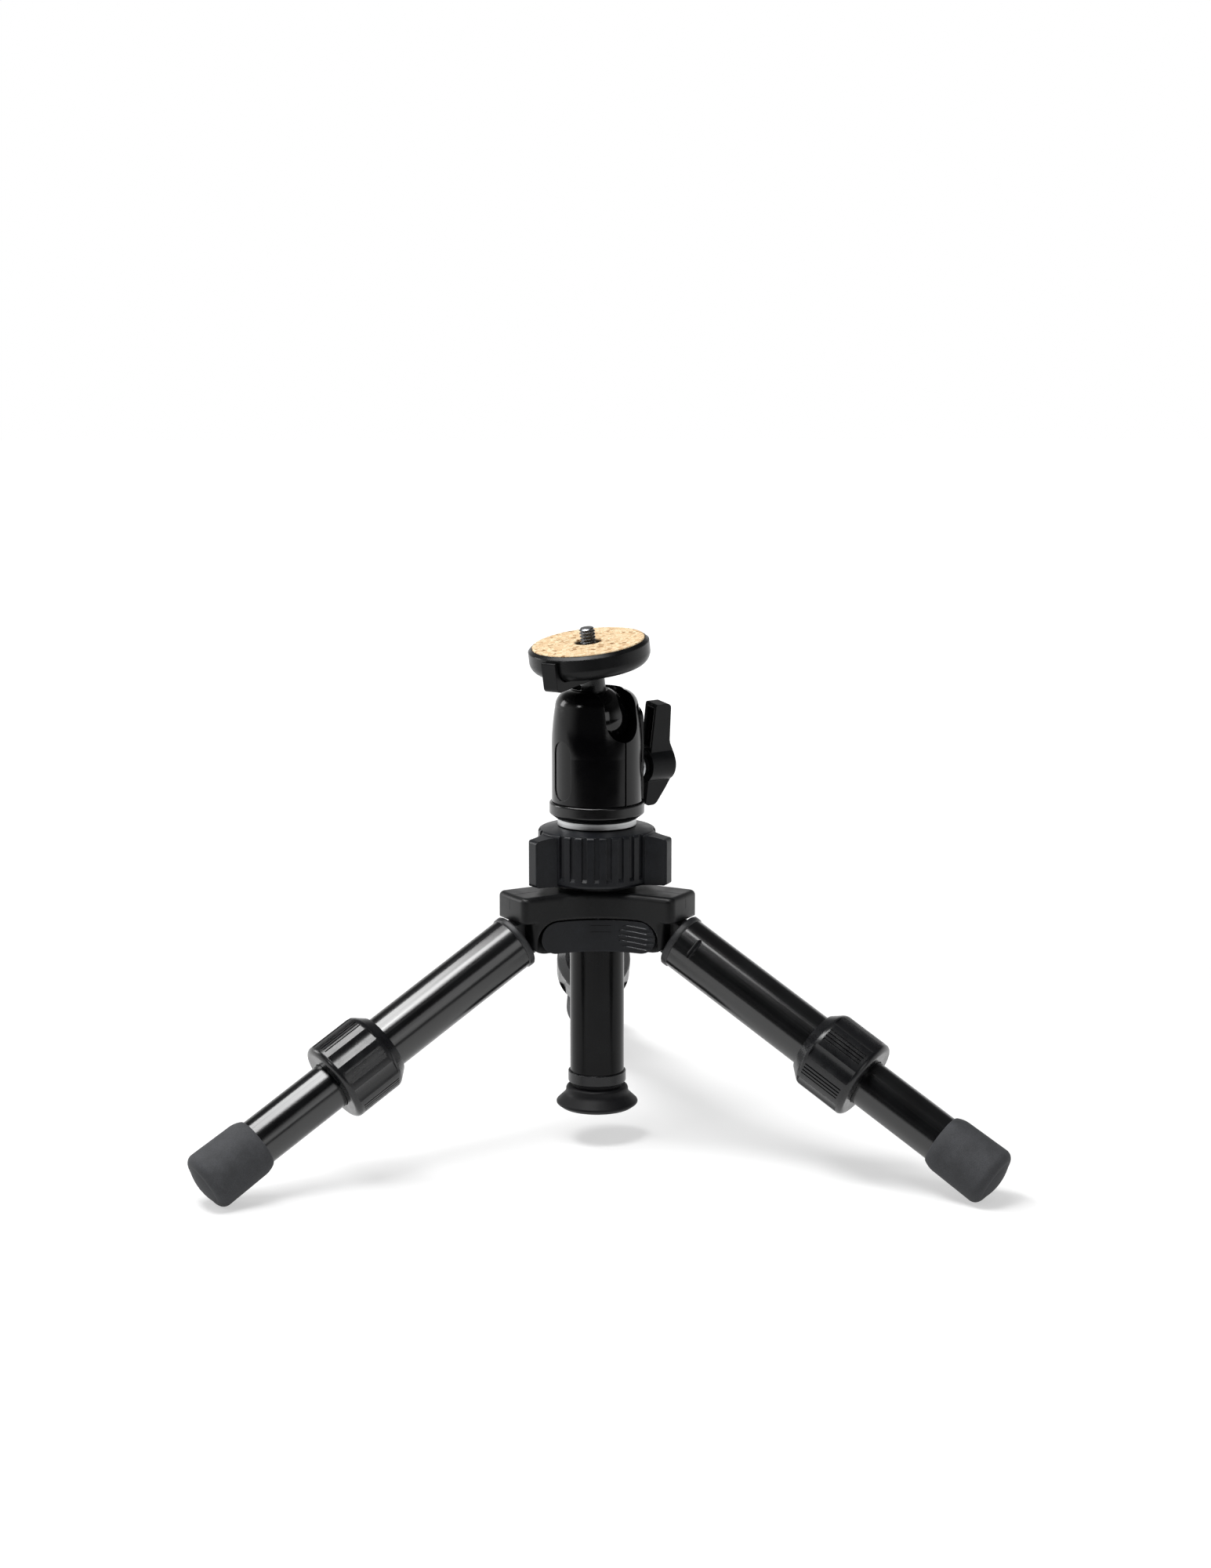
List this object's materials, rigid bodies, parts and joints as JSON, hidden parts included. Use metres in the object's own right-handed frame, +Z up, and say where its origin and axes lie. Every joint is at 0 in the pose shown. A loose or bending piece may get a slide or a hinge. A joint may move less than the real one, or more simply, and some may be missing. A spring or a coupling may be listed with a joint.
{
  "type": "mini tripod",
  "caption": "Small table tripod with telescoping legs on a hub, a sliding centre column with a winged lock knob, and a ball head with a cork-faced camera plate",
  "frame": {"origin": "on the centre column's axis, at the floor that the three feet stand on", "axes": "+Z up along the centre column, -Y toward the viewer of the picture, +X to the viewer's right; one leg points to +Y"},
  "size_m": [0.314, 0.275, 0.2119],
  "materials": {
    "cast_black": "satin black powder coat on die-cast aluminium",
    "tube_black": "glossy black on drawn aluminium tube",
    "head_black": "semi-gloss black",
    "ball_black": "polished black",
    "black_plastic": "fine-textured moulded plastic",
    "white_nylon": "plain nylon",
    "grey_rubber": "matt dark grey",
    "black_rubber": "matt black",
    "aluminium": "plain turned",
    "steel": "zinc plated",
    "spring_steel": "bright wire",
    "cork": "pressed cork sheet"
  },
  "bodies": {
    "hub": {"hub": "cast_black", "hinge_pins": "steel", "lever_pins": "steel", "column_bush": "white_nylon", "lever_spring_rear": "spring_steel", "lever_spring_left": "spring_steel", "lever_spring_right": "spring_steel"},
    "leg_rear": {"leg_rear_hinge_casting": "cast_black", "leg_rear_upper_tube": "tube_black", "leg_rear_collet": "white_nylon"},
    "collar_rear": {"leg_rear_collar": "black_plastic"},
    "shank_rear": {"leg_rear_lower_tube": "tube_black", "leg_rear_guide_ring": "white_nylon", "leg_rear_foot": "grey_rubber"},
    "lever_rear": {"angle_lever_rear": "black_plastic"},
    "leg_left": {"leg_left_hinge_casting": "cast_black", "leg_left_upper_tube": "tube_black", "leg_left_collet": "white_nylon"},
    "collar_left": {"leg_left_collar": "black_plastic"},
    "shank_left": {"leg_left_lower_tube": "tube_black", "leg_left_guide_ring": "white_nylon", "leg_left_foot": "grey_rubber"},
    "lever_left": {"angle_lever_left": "black_plastic"},
    "leg_right": {"leg_right_hinge_casting": "cast_black", "leg_right_upper_tube": "tube_black", "leg_right_collet": "white_nylon"},
    "collar_right": {"leg_right_collar": "black_plastic"},
    "shank_right": {"leg_right_lower_tube": "tube_black", "leg_right_guide_ring": "white_nylon", "leg_right_foot": "grey_rubber"},
    "lever_right": {"angle_lever_right": "black_plastic"},
    "lock_knob": {"column_lock_knob": "black_plastic"},
    "column": {"column_tube": "tube_black", "column_top_plate": "aluminium", "head_stud": "steel", "column_end_ring": "black_plastic", "column_end_foot": "black_rubber", "head_base": "head_black"},
    "head": {"head_body": "head_black", "clamp_washer": "steel"},
    "clamp": {"clamp_screw": "steel", "clamp_knob": "black_plastic"},
    "seat": {"ball_seat": "white_nylon"},
    "ball": {"ball": "ball_black"},
    "plate": {"stem": "head_black", "camera_plate": "head_black", "cork_pad": "cork", "camera_screw": "steel"},
    "plate_lock": {"plate_lock_lever": "black_plastic"}
  },
  "joints": [
    {"name": "leg_rear_fold", "type": "hinge", "parent": "hub", "child": "leg_rear", "pos_m": [0, 0.028, 0.09324], "axis": [-1, 0, 0], "range_deg": [0, 55]},
    {"name": "collar_rear_turn", "type": "hinge", "parent": "leg_rear", "child": "collar_rear", "pos_m": [0, 0.10828, 0.04689], "axis": [0, 0.866, -0.5], "range_deg": [0, 120]},
    {"name": "leg_rear_extend", "type": "slide", "parent": "leg_rear", "child": "shank_rear", "axis": [0, 0.866, -0.5], "range_m": [-0.036, 0.014]},
    {"name": "angle_lever_rear_press", "type": "hinge", "parent": "hub", "child": "lever_rear", "pos_m": [-0.0123, 0.0071, 0.08279], "axis": [0, 0, 1], "range_deg": [0, 3.5], "stiffness_Nm_per_rad": 0.4, "springref_deg": -3.44, "deforming": ["lever_spring_rear"]},
    {"name": "leg_left_fold", "type": "hinge", "parent": "hub", "child": "leg_left", "pos_m": [-0.02425, -0.014, 0.09324], "axis": [0.5, -0.866, 0], "range_deg": [0, 55]},
    {"name": "collar_left_turn", "type": "hinge", "parent": "leg_left", "child": "collar_left", "pos_m": [-0.09377, -0.05414, 0.04689], "axis": [-0.75, -0.433, -0.5], "range_deg": [0, 120]},
    {"name": "leg_left_extend", "type": "slide", "parent": "leg_left", "child": "shank_left", "axis": [-0.75, -0.433, -0.5], "range_m": [-0.036, 0.014]},
    {"name": "angle_lever_left_press", "type": "hinge", "parent": "hub", "child": "lever_left", "pos_m": [0, -0.0142, 0.08279], "axis": [0, 0, 1], "range_deg": [0, 3.5], "stiffness_Nm_per_rad": 0.4, "springref_deg": -3.44, "deforming": ["lever_spring_left"]},
    {"name": "leg_right_fold", "type": "hinge", "parent": "hub", "child": "leg_right", "pos_m": [0.02425, -0.014, 0.09324], "axis": [0.5, 0.866, 0], "range_deg": [0, 55]},
    {"name": "collar_right_turn", "type": "hinge", "parent": "leg_right", "child": "collar_right", "pos_m": [0.09377, -0.05414, 0.04689], "axis": [0.75, -0.433, -0.5], "range_deg": [0, 120]},
    {"name": "leg_right_extend", "type": "slide", "parent": "leg_right", "child": "shank_right", "axis": [0.75, -0.433, -0.5], "range_m": [-0.036, 0.014]},
    {"name": "angle_lever_right_press", "type": "hinge", "parent": "hub", "child": "lever_right", "pos_m": [0.0123, 0.0071, 0.08279], "axis": [0, 0, 1], "range_deg": [0, 3.5], "stiffness_Nm_per_rad": 0.4, "springref_deg": -3.44, "deforming": ["lever_spring_right"]},
    {"name": "lock_knob_turn", "type": "hinge", "parent": "hub", "child": "lock_knob", "pos_m": [0, 0, 0.10909], "axis": [0, 0, 1], "range_deg": [0, 120]},
    {"name": "column_raise", "type": "slide", "parent": "hub", "child": "column", "axis": [0, 0, 1], "range_m": [0, 0.05]},
    {"name": "head_pan", "type": "hinge", "parent": "column", "child": "head", "pos_m": [0, 0, 0.14099], "axis": [0, 0, 1], "continuous": true},
    {"name": "clamp_turn", "type": "hinge", "parent": "head", "child": "clamp", "pos_m": [0.00277, -0.00355, 0.15379], "axis": [0.788, 0.6157, 0], "range_deg": [0, 120]},
    {"name": "ball_lean", "type": "hinge", "parent": "head", "child": "seat", "pos_m": [0, 0, 0.17459], "axis": [0.6157, -0.788, 0], "range_deg": [-21, 5]},
    {"name": "ball_drop", "type": "hinge", "parent": "seat", "child": "ball", "pos_m": [0, 0, 0.17459], "axis": [0.7783, 0.6081, 0.1564], "range_deg": [-17, 88.8]},
    {"name": "stem_turn", "type": "hinge", "parent": "ball", "child": "plate", "pos_m": [0, 0, 0.17459], "axis": [-0.1104, -0.1128, 0.9875], "continuous": true},
    {"name": "plate_lock_turn", "type": "hinge", "parent": "plate", "child": "plate_lock", "pos_m": [-0.0019, -0.00194, 0.19158], "axis": [-0.1104, -0.1128, 0.9875], "range_deg": [0, 40]}
  ]
}
